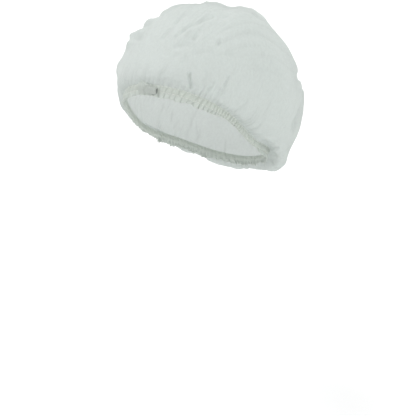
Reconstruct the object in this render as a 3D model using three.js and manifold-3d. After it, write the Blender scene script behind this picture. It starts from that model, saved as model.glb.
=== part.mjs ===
// A mob cap of thin nonwoven cloth, in millimetres, as it sits on a head.
// Origin: midway between the wearer's ears, in the head opening.
// +Z is up, -Y is the face, and +X is the wearer's left.
import * as THREE from 'three';
import Module from 'manifold-3d';

const wasm = await Module();
wasm.setup();

// ---- driving sizes ----
const RING_TILT = THREE.MathUtils.degToRad(32); // the hem drops from the brow to the nape
const RING_CENTRE = new THREE.Vector3(0, -1, -3.5);
const COLUMNS = 96; // round the cap
const CROWN_ROWS = 18; // from rim to pole
const ROW_CROWDING = 1.15; // over 1 sets the rows closer together near the rim

// The hem and the crown at five places round the head, an eighth of a turn apart and the same on
// both sides. Turn is measured round the tilted ring, from the brow. Radius and rise are across and
// along the ring's axis. Lean is how far the band's top stands out past its foot, sag how far the
// cloth hangs below its fullest part, and round how bluntly the crown closes over the top.
const SECTIONS = {
  brow: { hemRadius: 110, hemRise: -4.4, lean: 3, belly: 119, bellyRise: 32, sag: 0, round: 0.95 },
  temple: { hemRadius: 88.5, hemRise: -6.5, lean: 2, belly: 112, bellyRise: 47, sag: 0, round: 0.87 },
  ear: { hemRadius: 72, hemRise: -13, lean: 1, belly: 110, bellyRise: 42, sag: 3, round: 0.89 },
  mastoid: { hemRadius: 89, hemRise: -3, lean: 1.5, belly: 125.5, bellyRise: 36, sag: 16, round: 0.91 },
  nape: { hemRadius: 111, hemRise: -1, lean: 2.5, belly: 153, bellyRise: 21, sag: 18, round: 0.93 },
};
const POLE_RISE = 153;
const BELLY_CLIMB = 0.3; // share of the way from rim to pole at which the crown is widest
const RIM_FLARE = 0.8; // how soon the gathers spread above the hem

const CLOTH_WALL = 1.2;
const GAP = 0.4; // between neighbouring pieces

const BAND_HEIGHT = 12; // hem casing with its frill
const FRILL_HEIGHT = 5;
const LEAF_WALL = 1;
const CHANNEL_WIDTH = 1.5;
const CASING_DEPTH = 2 * LEAF_WALL + CHANNEL_WIDTH;
const FRILL_INSET = 0.4;
const FRILL_WAVE = 0.5;
const ELASTIC_WIDTH = 5.8;
const ELASTIC_WALL = 0.7;

const PLEATS = 32;
const PLEAT_DEPTH = 3.6;
const PLEAT_LIFT = 0.4; // how much a pleat leans along the ring's axis
const PLEAT_START = 0.03; // climbs at which a pleat is full, and at which it is gone
const PLEAT_END = 0.42;

// Long folds and dents. Each runs from one turn and climb to another; depth is into the crown,
// and a negative depth stands out.
const FOLDS = [
  { name: 'right brow tuck', turn: [-62, -24], climb: [0.43, 0.41], width: 5, depth: 5 },
  { name: 'right temple tuck', turn: [-60, -26], climb: [0.52, 0.49], width: 6, depth: 4 },
  { name: 'right crown tuck', turn: [-56, -28], climb: [0.62, 0.58], width: 6, depth: 4 },
  { name: 'top right dip', turn: [-21, -21], climb: [0.6, 0.92], width: 9, depth: 4 },
  { name: 'top left dip', turn: [27, 27], climb: [0.6, 0.92], width: 9, depth: 4 },
  { name: 'left crown tuck', turn: [54, 84], climb: [0.7, 0.68], width: 6, depth: 4 },
  { name: 'nape puff fold', turn: [125, 106], climb: [0.54, 0.26], width: 8, depth: 7 },
  { name: 'nape puff', turn: [130, 137], climb: [0.48, 0.43], width: 24, depth: -3 },
  { name: 'low nape swell', turn: [150, 166], climb: [0.16, 0.14], width: 10, depth: -4 },
  { name: 'front crease', turn: [38, 37], climb: [0.26, 0.12], width: 5, depth: 2.5 },
];

const FOLD_BOW = 8; // how far the crown may bow off a fold's straight line
const SLOPE_STEP = 0.004; // of turn and of climb, for the surface's slope

// The bunched join on the front of the hem, with the open end of its tuck as an oval slot.
const JOIN_TURN = THREE.MathUtils.degToRad(-1.5);
const JOIN = { halfLength: 13, bottom: 1.6, height: 9.6, wall: 1.2, swell: 1.8, stations: 14 };
const JOIN_TAPER = 0.94; // how nearly the tuck closes at its ends
const JOIN_END_HEIGHT = 0.45; // share of the full height kept at the ends
const JOIN_SHOULDER = 0.7; // share of the full swell at the tuck's foot and top
const JOIN_SLOT = { along: 9.4, up: 5.2, width: 3.6, height: 6, depth: 20, sides: 16 };

// ---- the tilted ring ----
const ACROSS = new THREE.Vector3(1, 0, 0);
const BACK = new THREE.Vector3(0, Math.cos(RING_TILT), -Math.sin(RING_TILT));
const AXIS = new THREE.Vector3(0, Math.sin(RING_TILT), Math.cos(RING_TILT));

function ringPoint(turn, radius, rise) {
  return RING_CENTRE.clone()
    .addScaledVector(ACROSS, radius * Math.sin(turn))
    .addScaledVector(BACK, -radius * Math.cos(turn))
    .addScaledVector(AXIS, rise);
}

// A smooth, side-to-side symmetric value through a column of SECTIONS: a cosine series.
function sectionCurve(column) {
  const values = Object.values(SECTIONS).map((section) => section[column]);
  const last = values.length - 1;
  const share = (k) => (k === 0 || k === last ? 0.5 : 1);
  const waves = values.map((_, k) => {
    const sum = values.reduce((s, v, j) => s + share(j) * v * Math.cos((Math.PI * j * k) / last), 0);
    return (share(k) * 2 * sum) / last;
  });
  return (turn) => waves.reduce((s, w, k) => s + w * Math.cos(k * turn), 0);
}
const hemRadius = sectionCurve('hemRadius');
const hemRise = sectionCurve('hemRise');
const lean = sectionCurve('lean');
const belly = sectionCurve('belly');
const bellyRise = sectionCurve('bellyRise');
const sag = sectionCurve('sag');
const round = sectionCurve('round');

// A point of the hem band: out from the head and up from the frill's lower edge.
function bandPoint(turn, out, up) {
  const radius = hemRadius(turn) + out + (lean(turn) * up) / BAND_HEIGHT;
  return ringPoint(turn, radius, hemRise(turn) + up);
}

// ---- the crown's surface ----
function crownBase(turn, climb) {
  const rimRadius = hemRadius(turn) + lean(turn) + CASING_DEPTH;
  const rimRise = hemRise(turn) + BAND_HEIGHT + GAP;
  if (climb < BELLY_CLIMB) {
    const swing = (climb / BELLY_CLIMB) * (Math.PI / 2);
    const spread = Math.sin(swing) ** RIM_FLARE;
    const drop = sag(turn) * Math.sin(2 * swing) * Math.cos(swing);
    const radius = THREE.MathUtils.lerp(rimRadius, belly(turn), spread);
    const rise = THREE.MathUtils.lerp(rimRise, bellyRise(turn), 1 - Math.cos(swing));
    return ringPoint(turn, radius, rise - drop);
  }
  const swing = ((climb - BELLY_CLIMB) / (1 - BELLY_CLIMB)) * (Math.PI / 2);
  const radius = belly(turn) * Math.max(Math.cos(swing), 0) ** round(turn);
  const rise = THREE.MathUtils.lerp(bellyRise(turn), POLE_RISE, Math.sin(swing));
  return ringPoint(turn, radius, rise);
}

function outward(surface, turn, climb) {
  const above = Math.min(climb + SLOPE_STEP, 1);
  const below = Math.max(climb - SLOPE_STEP, 0);
  const along = surface(turn + SLOPE_STEP, climb).sub(surface(turn - SLOPE_STEP, climb));
  const up = surface(turn, above).sub(surface(turn, below));
  return along.cross(up).normalize();
}

// Pleats only stand out from the crown, so they never reach the hem casing.
function pleatHeight(turn, climb) {
  const rise = THREE.MathUtils.smoothstep(climb, 0, PLEAT_START);
  const fade = 1 - THREE.MathUtils.smoothstep(climb, PLEAT_START, PLEAT_END);
  return PLEAT_DEPTH * rise * fade * (0.5 + 0.5 * Math.cos(PLEATS * turn));
}

function pleatWay(turn) {
  return ringPoint(turn, 1, PLEAT_LIFT).sub(RING_CENTRE).normalize();
}

const foldLines = FOLDS.map((fold) => {
  const ends = [0, 1].map((k) => crownBase(THREE.MathUtils.degToRad(fold.turn[k]), fold.climb[k]));
  return { line: new THREE.Line3(...ends), width: fold.width, depth: fold.depth };
});

// A fold follows its straight line over the curved crown, so the crown's own bow off that line,
// along the normal, isn't counted in the distance.
function foldHeight(place, normal) {
  const near = new THREE.Vector3();
  return foldLines.reduce((height, fold) => {
    fold.line.closestPointToPoint(place, true, near);
    const gap = place.clone().sub(near);
    gap.addScaledVector(normal, -THREE.MathUtils.clamp(gap.dot(normal), -FOLD_BOW, FOLD_BOW));
    return height - fold.depth * Math.exp(-gap.lengthSq() / fold.width ** 2);
  }, 0);
}

function crownOutside(turn, climb) {
  const place = crownBase(turn, climb);
  const normal = outward(crownBase, turn, climb);
  return place
    .addScaledVector(normal, foldHeight(place, normal))
    .addScaledVector(pleatWay(turn), pleatHeight(turn, climb));
}

function crownInside(turn, climb) {
  const normal = outward(crownOutside, turn, climb);
  return crownOutside(turn, climb).addScaledVector(normal, -CLOTH_WALL);
}

// ---- meshes ----
function solidGeometry(points, faces) {
  const geometry = new THREE.BufferGeometry().setFromPoints(points);
  geometry.setIndex(faces.flat());
  geometry.computeVertexNormals();
  return geometry;
}

const turnOf = (column) => (2 * Math.PI * column) / COLUMNS;

// Two triangles for each cell between ring a and ring b of vertex numbers.
function stripFaces(ringA, ringB) {
  return ringA.flatMap((a, i) => {
    const next = (i + 1) % ringA.length;
    return [
      [a, ringA[next], ringB[next]],
      [a, ringB[next], ringB[i]],
    ];
  });
}

// A flat fan of triangles over a ring of vertex numbers.
function endFaces(ring) {
  return ring.slice(2).map((last, i) => [ring[0], ring[i + 1], last]);
}

// A shell from the rim to the pole, with an inner wall and a closed rim.
function crownGeometry() {
  const points = [];
  const addRing = (surface, climb) =>
    Array.from({ length: COLUMNS }, (_, i) => points.push(surface(turnOf(i), climb)) - 1);
  const climbOf = (row) => (row / CROWN_ROWS) ** ROW_CROWDING;
  const rows = Array.from({ length: CROWN_ROWS }, (_, row) => climbOf(row));
  const outer = rows.map((climb) => addRing(crownOutside, climb));
  const inner = rows.map((climb) => addRing(crownInside, climb));
  const top = ringPoint(0, 0, POLE_RISE);
  const outerPole = points.push(top.clone()) - 1;
  const innerPole = points.push(top.clone().addScaledVector(AXIS, -CLOTH_WALL)) - 1;
  const faces = [];
  for (let row = 0; row < CROWN_ROWS - 1; row += 1) {
    faces.push(...stripFaces(outer[row], outer[row + 1]));
    faces.push(...stripFaces(inner[row + 1], inner[row]));
  }
  faces.push(...stripFaces(inner[0], outer[0]));
  const poleFaces = (ring, pole) => ring.map((a, i) => [a, ring[(i + 1) % ring.length], pole]);
  faces.push(...poleFaces(outer.at(-1), outerPole));
  faces.push(...poleFaces(inner.at(-1).toReversed(), innerPole));
  return solidGeometry(points, faces);
}

// A closed section, listed anticlockwise in (out, up), carried once round the head.
function bandGeometry(section) {
  const points = [];
  const rings = section(0).map((_, k) =>
    Array.from({ length: COLUMNS }, (__, i) => {
      const turn = turnOf(i);
      const [out, up] = section(i)[k];
      return points.push(bandPoint(turn, out, up)) - 1;
    }),
  );
  const faces = rings.flatMap((ring, k) => stripFaces(ring, rings[(k + 1) % rings.length]));
  return solidGeometry(points, faces);
}

function casingSection(column) {
  const wave = FRILL_WAVE * Math.cos((2 * Math.PI * column) / 3);
  const outer = CASING_DEPTH;
  return [
    [FRILL_INSET + wave, 0],
    [outer - FRILL_INSET + wave, 0],
    [outer, FRILL_HEIGHT],
    [outer, BAND_HEIGHT],
    [outer - LEAF_WALL, BAND_HEIGHT],
    [outer - LEAF_WALL, FRILL_HEIGHT + GAP],
    [LEAF_WALL, FRILL_HEIGHT + GAP],
    [LEAF_WALL, BAND_HEIGHT],
    [0, BAND_HEIGHT],
    [0, FRILL_HEIGHT],
  ];
}

function elasticSection() {
  const inner = LEAF_WALL + GAP;
  const bottom = FRILL_HEIGHT + 2 * GAP;
  return [
    [inner, bottom],
    [inner + ELASTIC_WALL, bottom],
    [inner + ELASTIC_WALL, bottom + ELASTIC_WIDTH],
    [inner, bottom + ELASTIC_WIDTH],
  ];
}

// The join is a swelling tuck, carried along the band, with an oval slot cut through it.
function joinPoint(along, out, up) {
  const turn = JOIN_TURN + along / hemRadius(JOIN_TURN);
  return bandPoint(turn, CASING_DEPTH + GAP + out, up);
}

function joinTuck() {
  const points = [];
  const stations = Array.from({ length: JOIN.stations + 1 }, (_, k) => {
    const share = (2 * k) / JOIN.stations - 1;
    const arch = Math.sqrt(1 - (JOIN_TAPER * share) ** 2);
    const thick = JOIN.wall + JOIN.swell * arch;
    const top = JOIN.bottom + JOIN.height * THREE.MathUtils.lerp(JOIN_END_HEIGHT, 1, arch);
    const section = [
      [0, JOIN.bottom],
      [thick * JOIN_SHOULDER, JOIN.bottom],
      [thick, (JOIN.bottom + top) / 2],
      [thick * JOIN_SHOULDER, top],
      [0, top],
    ];
    return section.map(([out, up]) => points.push(joinPoint(JOIN.halfLength * share, out, up)) - 1);
  });
  const faces = [];
  for (let k = 0; k < JOIN.stations; k += 1) {
    faces.push(...stripFaces(stations[k + 1], stations[k]));
  }
  faces.push(...endFaces(stations[0]));
  faces.push(...endFaces(stations.at(-1).toReversed()));
  return solidGeometry(points, faces);
}

function slotCutter() {
  const cutter = new THREE.CylinderGeometry(0.5, 0.5, JOIN_SLOT.depth, JOIN_SLOT.sides);
  cutter.scale(JOIN_SLOT.width, 1, JOIN_SLOT.height);
  const centre = joinPoint(JOIN_SLOT.along, 0, JOIN_SLOT.up);
  const out = joinPoint(JOIN_SLOT.along, 1, JOIN_SLOT.up).sub(centre).normalize();
  const side = new THREE.Vector3().crossVectors(out, AXIS).normalize();
  const up = new THREE.Vector3().crossVectors(side, out);
  cutter.applyMatrix4(new THREE.Matrix4().makeBasis(side, out, up).setPosition(centre));
  return cutter;
}

// ---- joining and cutting ----
function manifoldOf(geometry) {
  const positions = geometry.getAttribute('position');
  const known = new Map();
  const vertProperties = [];
  const numbers = Array.from({ length: positions.count }, (_, i) => {
    const place = [positions.getX(i), positions.getY(i), positions.getZ(i)];
    const key = place.map((value) => value.toFixed(4)).join(' ');
    if (!known.has(key)) {
      known.set(key, vertProperties.length / 3);
      vertProperties.push(...place);
    }
    return known.get(key);
  });
  const triVerts = Uint32Array.from(geometry.index.array, (i) => numbers[i]);
  return new wasm.Manifold(
    new wasm.Mesh({ numProp: 3, vertProperties: new Float32Array(vertProperties), triVerts }),
  );
}

function geometryOf(manifold) {
  const { vertProperties, triVerts } = manifold.getMesh();
  const geometry = new THREE.BufferGeometry();
  geometry.setAttribute('position', new THREE.BufferAttribute(vertProperties, 3));
  geometry.setIndex(new THREE.BufferAttribute(triVerts, 1));
  geometry.computeVertexNormals();
  return geometry;
}

function joinGeometry() {
  return geometryOf(manifoldOf(joinTuck()).subtract(manifoldOf(slotCutter())));
}

// ---- the cap ----
const cloth = { color: 0xd6dbd8, roughness: 0.9, metalness: 0 };
const foldedCloth = { color: 0xdde0dc, roughness: 0.9, metalness: 0 };
const latex = { color: 0xcfcaa6, roughness: 0.6, metalness: 0 };

function piece(name, geometry, look) {
  const mesh = new THREE.Mesh(geometry, new THREE.MeshStandardMaterial(look));
  mesh.name = name;
  return mesh;
}

const cap = new THREE.Group();
cap.add(piece('crown', crownGeometry(), cloth));
cap.add(piece('hem_casing', bandGeometry(casingSection), foldedCloth));
cap.add(piece('elastic_band', bandGeometry(elasticSection), latex));
cap.add(piece('hem_join', joinGeometry(), foldedCloth));

export default cap;
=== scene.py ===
# A mob cap of thin nonwoven cloth, gathered into an elastic hem and held open as a head holds it.
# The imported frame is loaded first; cloth, latex and thread then take the place of its plain solids.
# All lengths are in metres: +Z is up, -Y is the face, and +X is the wearer's left.
import math

import bpy
import numpy as np
from bpy.props import FloatProperty, FloatVectorProperty, IntProperty, PointerProperty
from mathutils import Euler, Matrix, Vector


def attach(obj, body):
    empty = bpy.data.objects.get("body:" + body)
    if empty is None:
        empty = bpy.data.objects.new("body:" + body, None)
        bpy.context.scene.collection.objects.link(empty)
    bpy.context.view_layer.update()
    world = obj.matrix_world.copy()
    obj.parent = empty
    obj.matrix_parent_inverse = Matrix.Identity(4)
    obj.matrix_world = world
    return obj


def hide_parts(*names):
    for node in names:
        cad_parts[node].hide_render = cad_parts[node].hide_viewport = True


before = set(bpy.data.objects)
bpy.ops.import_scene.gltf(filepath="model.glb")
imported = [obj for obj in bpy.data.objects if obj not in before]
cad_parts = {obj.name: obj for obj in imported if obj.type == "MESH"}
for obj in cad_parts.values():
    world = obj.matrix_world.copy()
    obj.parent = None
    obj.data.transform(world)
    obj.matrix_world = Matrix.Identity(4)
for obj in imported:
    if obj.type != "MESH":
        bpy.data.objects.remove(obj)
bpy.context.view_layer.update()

bl_info = {
    "name": "Mob Cap",
    "version": (1, 0, 0),
    "blender": (4, 5, 0),
    "location": "View3D > Sidebar > Mob Cap",
    "description": "Builds a gathered nonwoven mob cap with an elastic hem",
    "category": "Add Mesh",
}

TAU = 2 * math.pi
MM = 0.001

# ---- the tilted ring that the hem follows ----
RING_TILT = math.radians(32)
RING_CENTRE = np.array((0.0, -0.001, -0.0035))
ACROSS = np.array((1.0, 0.0, 0.0))
BACK = np.array((0.0, math.cos(RING_TILT), -math.sin(RING_TILT)))
AXIS = np.array((0.0, math.sin(RING_TILT), math.cos(RING_TILT)))

# The hem and crown at every eighth of a turn from brow to nape, alike on both sides, in millimetres
# but for the last column. Turns are measured round the ring from the brow.
SECTION_COLUMNS = ("hem_radius", "hem_rise", "lean", "belly", "belly_rise", "sag", "bluntness")
SECTIONS = {
    "brow": (110, -4.4, 3, 119, 32, 0, 0.95),
    "temple": (88.5, -6.5, 2, 112, 47, 0, 0.87),
    "ear": (72, -13, 1, 110, 42, 3, 0.89),
    "mastoid": (89, -3, 1.5, 125.5, 36, 16, 0.91),
    "nape": (111, -1, 2.5, 153, 21, 18, 0.93),
}
POLE_RISE = 0.153
BELLY_CLIMB = 0.3  # share of the way from rim to pole at which the crown is widest
RIM_FLARE = 0.8  # the lower, the sooner the crown swells out above its rim
BAND_HEIGHT = 0.012  # from the frill's edge to the hem's top
CASING_DEPTH = 0.0035  # how far out from the head the crown starts
RIM_GAP = 0.0004  # how far above the hem's top it starts
SLOPE_STEP = 0.004  # of turn and climb, over which the crown's slope is taken

# Long folds and dents: turns in degrees and climbs at both ends, width and depth in mm. A negative
# depth stands out.
FOLD_COLUMNS = ("turn", "climb", "width", "depth")
FOLDS = {
    "right brow tuck": ((-62, -24), (0.43, 0.41), 5, 3.4),
    "right temple tuck": ((-60, -26), (0.52, 0.49), 6, 4),
    "right crown tuck": ((-56, -28), (0.62, 0.58), 6, 4),
    "top right dip": ((-21, -21), (0.60, 0.92), 9, 4),
    "top left dip": ((27, 27), (0.60, 0.92), 9, 4),
    "left crown tuck": ((54, 84), (0.70, 0.68), 6, 4),
    "nape puff fold": ((125, 106), (0.54, 0.26), 8, 7),
    "nape puff": ((130, 137), (0.48, 0.43), 24, -1.8),
    "nape trim": ((134, 142), (0.36, 0.2), 20, 4),
    "nape notch": ((100, 134), (0.487, 0.595), 4.5, 5),
    "nape puff top": ((128, 134), (0.52, 0.49), 7, -2.5),
    "nape hollow": ((127, 123), (0.43, 0.33), 9, 3.8),
    "low nape swell": ((150, 166), (0.16, 0.14), 10, -4),
    "nape corner": ((142, 150), (0.2, 0.19), 8, -2.0),
    "far cheek swell": ((-64, -60), (0.05, 0.07), 7, -3.5),
    "far side notch": ((-54, -48), (0.185, 0.21), 7, 4.5),
    "low far notch": ((-48, -43), (0.125, 0.16), 6, 2.2),
    "far side swell": ((-51, -46), (0.27, 0.28), 7, -2.5),
    "far side fill": ((-41, -34), (0.41, 0.385), 7, -3.6),
    "far temple corner": ((-48, -44), (0.43, 0.44), 6, -4.6),
    "far crown swell": ((-45, -40), (0.53, 0.545), 7, -2.0),
    "far top dip": ((-24, -9), (0.752, 0.742), 7, 4.6),
    "top swell": ((0, 8), (0.782, 0.79), 6, -1.8),
    "high left dip": ((64, 78), (0.75, 0.72), 10, 2),
    "high left swell": ((58, 70), (0.806, 0.797), 9, -2.2),
    "left side dip": ((85, 91), (0.755, 0.715), 8, 1.3),
    "nape shoulder dip": ((106, 110), (0.575, 0.545), 6, 1.8),
    "front crease": ((39, 38), (0.245, 0.123), 1.4, 1.8),
    "front pinch": ((19, 21), (0.215, 0.11), 1.8, 3.4),
    "brow crease": ((-1, -3), (0.474, 0.412), 2.6, 1.6),
    "brow sweep": ((8, 20), (0.461, 0.561), 2.8, 2.2),
    "brow sweep ridge": ((10, 21), (0.447, 0.54), 4.5, -1.2),
    "lower brow sweep": ((5, 8), (0.418, 0.455), 2.6, 1.6),
    "level sweep": ((12, 16), (0.41, 0.418), 2.4, 1.5),
    "rising sweep": ((16, 17), (0.418, 0.464), 2.4, 1.6),
    "low sweep": ((7, 14), (0.37, 0.386), 2.8, 1.8),
    "high sweep": ((0, 1), (0.506, 0.564), 2.8, 1.6),
    "level crease": ((18, 26), (0.341, 0.357), 2.6, 1.0),
    "second level crease": ((34, 38), (0.354, 0.357), 2.4, 1.1),
    "low crease": ((7, 9), (0.315, 0.334), 2.4, 1.2),
    "second low crease": ((14, 14), (0.295, 0.321), 2.4, 1.3),
    "dimple": ((29, 29), (0.41, 0.396), 1.9, 2.5),
    "hem stroke": ((30, 32), (0.068, 0.188), 1.8, 1.5),
    "second hem stroke": ((32, 34), (0.068, 0.17), 1.8, 1.4),
    "third hem stroke": ((34.5, 36), (0.068, 0.16), 1.8, 1.4),
    "temple stroke": ((50, 56), (0.308, 0.415), 2.2, 1.1),
    "second temple stroke": ((53, 59), (0.308, 0.40), 2.2, 1.1),
    "third temple stroke": ((57, 62), (0.32, 0.40), 2.2, 1.0),
    "ear crease": ((104, 108.5), (0.322, 0.255), 3, 1.2),
    "long ear crease": ((105.5, 92.5), (0.301, 0.205), 3, 1.0),
    "ear ridge": ((114, 99), (0.02, 0.115), 1.7, -1.3),
    "ear stroke": ((119, 105), (0.03, 0.112), 1.5, 0.9),
    "second ear ridge": ((125, 111), (0.02, 0.112), 1.7, -1.3),
    "second ear stroke": ((131, 117), (0.035, 0.11), 1.5, 0.9),
    "third ear ridge": ((137, 124), (0.03, 0.11), 1.7, -1.2),
    "join corner": ((-9.5, -7.5), (0.06, 0.035), 2.4, 1.5),
}
FOLD_BOW = 0.008  # how far the crown may bow off a fold's straight line
# Behind the ears the elastic holds the cloth up where it leaves the hem, and there the painted shade in the
# gather valleys is taken away.
# Each starts, is full, begins to fade and is gone at these turns, in degrees either way.
TAUT_TURNS = (84, 98, 110, 130)
SHADE_FREE_TURNS = (84, 98, 140, 165)
RIM_LIFT, RIM_LIFT_WAY = 0.0042, 0.008  # how high the cloth is held, and how far along it that is
# Soft patches of painted shade on the crown. The shade is a share of the full painted shade.
SHADE_PATCH_COLUMNS = ("turn", "climb", "width", "shade")
SHADE_PATCHES = {
    "over the top, right": ((-28, -4), (0.73, 0.725), 19, 0.9),
    "over the top, left": ((-4, 34), (0.725, 0.755), 20, 0.9),
    "left side": ((94, 108), (0.46, 0.64), 15, 0.35),
    "nape puff": ((116, 134), (0.28, 0.46), 22, 0.4),
    "above the hem, beside the pinch": ((8, 15), (0.14, 0.21), 13, 0.35),
}

# Between gathers the cloth is drawn in along valleys that start at the hem. Most are short and a
# few run far up the crown. Lengths and depths are in millimetres, widths in gathers.
VALLEYS = {
    "seed": 11,
    "length": (8.8, 16.5),
    "long_length": 105.0,  # more for the longest
    "rarity": 3.0,  # the higher, the fewer long valleys
    "depth": (2.2, 3.6),
    "long_depth": 1.8,  # more for the longest
    "width": 0.3,
    "widening": 12.0,  # gathers to a metre of cloth
    "breadth": (0.8, 1.3),  # each valley's own share of that width
    "rounding": 0.01,  # of a valley's foot, in square gathers
    "fade": 1.3,  # how fast a valley gets shallow on its way up
    "tuck": 1.6,  # how closely the painted shade keeps to a valley's foot
}
NEIGHBOURS = range(-4, 6)  # the valleys felt at a place, counted from the last one before it
PUFF = 0.0002  # how far the cloth between the valleys stands out from the plain crown

# Once round the folded hem, from the outer leaf's top, down round the frill and up the inner leaf:
# up from the frill's edge, and out from the head in a valley and on a crest of the gathers, in mm.
HEM_PATH = (
    (12.4, 2.3, 3.7), (11.5, 2.3, 3.2), (10.4, 2.35, 4.0), (8.6, 2.35, 4.3), (6.8, 2.35, 4.0),
    (5.5, 2.2, 3.1), (4.3, 2.1, 3.8), (2.9, 1.9, 4.4), (1.5, 1.7, 4.9), (0.5, 1.5, 5.0),
    (0.0, 1.2, 4.8), (0.5, 0.9, 4.5), (1.5, 0.7, 4.1), (2.9, 0.6, 3.4), (4.3, 0.7, 2.1),
    (5.5, 0.8, 1.2), (6.8, -0.2, 0.9), (8.6, -0.5, 0.9), (10.4, -0.2, 0.9), (11.5, 0.7, 1.2),
    (12.0, 0.8, 1.3),
)
OUTER_LEAF = 10  # rows of HEM_PATH down to the frill's fold
LOBE_FULLNESS = (0.6, 1.25)  # how far the hem's gathers stand out, as a share of valley to crest
LOBE_BLUNTNESS = 0.75  # the lower, the broader their crests
FRILL_TOP = 5.5 * MM
TUCKED_UNDER = 0.72  # how much of the frill is turned under between temple and ear
TUCKED_TURNS = (30, 48, 98, 118)  # where that starts, is full, begins to fade and is gone, in degrees
FRILL_FLATNESS = 0.35  # how much flatter the frill is where it is turned under
SCALLOP_WANDER = 0.4  # how uneven its scallops are


# ---- settings ----
class MobCapClothSettings(bpy.types.PropertyGroup):
    """The cut and the gathering of the crown."""

    disc: FloatProperty(name="Disc", description="Diameter of the flat round", default=0.53, unit="LENGTH")
    gathers: IntProperty(name="Gathers", description="Gathers round the hem, a multiple of 8", default=120)
    samples: IntProperty(name="Samples", description="Mesh columns to each gather at the hem", default=10)
    crumple: FloatProperty(
        name="Crumple", description="Depth of the soft dents all over", default=0.0011, unit="LENGTH"
    )
    packing: FloatProperty(
        name="Packing Creases", description="Depth of the creases from packing", default=0.001, unit="LENGTH"
    )
    colour: FloatVectorProperty(
        name="Colour", description="Colour of the nonwoven", default=(0.62, 0.66, 0.64), subtype="COLOR"
    )
    openness: FloatProperty(
        name="Openness", description="Share of light that passes straight through", default=0.13,
        subtype="FACTOR",
    )
    bond_pitch: FloatProperty(
        name="Bond Pitch", description="Distance between bond points", default=0.0016, unit="LENGTH"
    )


class MobCapHemSettings(bpy.types.PropertyGroup):
    """The folded hem with its elastic and thread."""

    scallop: FloatProperty(
        name="Scallop", description="Drop of the frill's edge", default=0.0018, unit="LENGTH"
    )
    colour: FloatVectorProperty(
        name="Colour", description="Colour of the doubled nonwoven", default=(0.61, 0.655, 0.614),
        subtype="COLOR",
    )
    openness: FloatProperty(
        name="Openness", description="Share of light that passes straight through", default=0.13,
        subtype="FACTOR",
    )
    elastic_width: FloatProperty(
        name="Elastic Width", description="Width of the strip", default=0.0058, unit="LENGTH"
    )
    elastic_thickness: FloatProperty(
        name="Elastic Thickness", description="Thickness of the strip", default=0.0007, unit="LENGTH"
    )
    elastic_colour: FloatVectorProperty(
        name="Elastic Colour", description="Colour of the latex", default=(0.74, 0.76, 0.54), subtype="COLOR"
    )
    thread_colour: FloatVectorProperty(
        name="Thread Colour", description="Colour of the thread", default=(0.86, 0.86, 0.83), subtype="COLOR"
    )
    thread: FloatProperty(name="Thread", description="Radius of the thread", default=0.00017, unit="LENGTH")


class MobCapStageSettings(bpy.types.PropertyGroup):
    """The pale floor, the soft light and the camera."""

    floor: FloatProperty(name="Floor", description="Height of the floor", default=-0.322, unit="LENGTH")
    floor_radius: FloatProperty(
        name="Floor Radius", description="Radius of the floor", default=30.0, unit="LENGTH"
    )
    floor_colour: FloatVectorProperty(
        name="Floor Colour", description="Colour of the floor", default=(0.9, 0.9, 0.9), subtype="COLOR"
    )
    sky_low: FloatProperty(name="Low Sky", description="Strength of the soft light all round", default=0.76)
    sky_high: FloatProperty(name="High Sky", description="Strength of the soft light overhead", default=1.25)
    key: FloatProperty(name="Key", description="Strength of the soft light from one side", default=0.9)
    key_softness: FloatProperty(
        name="Key Softness", description="How wide both soft lights look", default=math.radians(32),
        subtype="ANGLE",
    )
    fill: FloatProperty(name="Fill", description="Strength of the light from the wearer's left", default=0.34)
    camera_place: FloatVectorProperty(
        name="Camera Place", description="Where the camera stands", default=(0.4642, -0.7772, 0.1886),
        subtype="TRANSLATION",
    )
    camera_azimuth: FloatProperty(
        name="Azimuth", description="How far the camera stands to the wearer's left",
        default=math.radians(30.12), subtype="ANGLE",
    )
    camera_pitch: FloatProperty(
        name="Pitch", description="How far the camera looks down", default=math.radians(17.70),
        subtype="ANGLE",
    )
    lens: FloatProperty(name="Lens", description="Focal length on a 36 mm sensor", default=66.63)


# ---- the shape of the cap, before its gathers ----
def row_of(columns, row):
    return dict(zip(columns, row))


def section_curve(column):
    """A smooth, symmetric value round the cap through a column of SECTIONS: a cosine series."""
    values = np.array([row_of(SECTION_COLUMNS, row)[column] for row in SECTIONS.values()], float)
    last = len(values) - 1
    share = np.ones(last + 1)
    share[[0, last]] = 0.5
    steps = np.arange(last + 1)
    waves = np.cos(np.pi * np.outer(steps, steps) / last) @ (share * values) * share * 2 / last
    return lambda turn: sum(wave * np.cos(k * turn) for k, wave in enumerate(waves))


CURVES = {column: section_curve(column) for column in SECTION_COLUMNS}


def curve(column, turn):
    scale = 1 if column == "bluntness" else MM
    return CURVES[column](turn) * scale


def ring_point(turn, radius, rise):
    """A point round the ring: out from its axis, and up along it."""
    turn, radius, rise = np.broadcast_arrays(turn, radius, rise)
    across = (radius * np.sin(turn))[..., None] * ACROSS
    back = (radius * np.cos(turn))[..., None] * BACK
    return RING_CENTRE + across - back + rise[..., None] * AXIS


def band_point(turn, out, up):
    """A point of the hem: out from the head, and up from the frill's lower edge."""
    radius = curve("hem_radius", turn) + out + curve("lean", turn) * up / BAND_HEIGHT
    return ring_point(turn, radius, curve("hem_rise", turn) + up)


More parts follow.
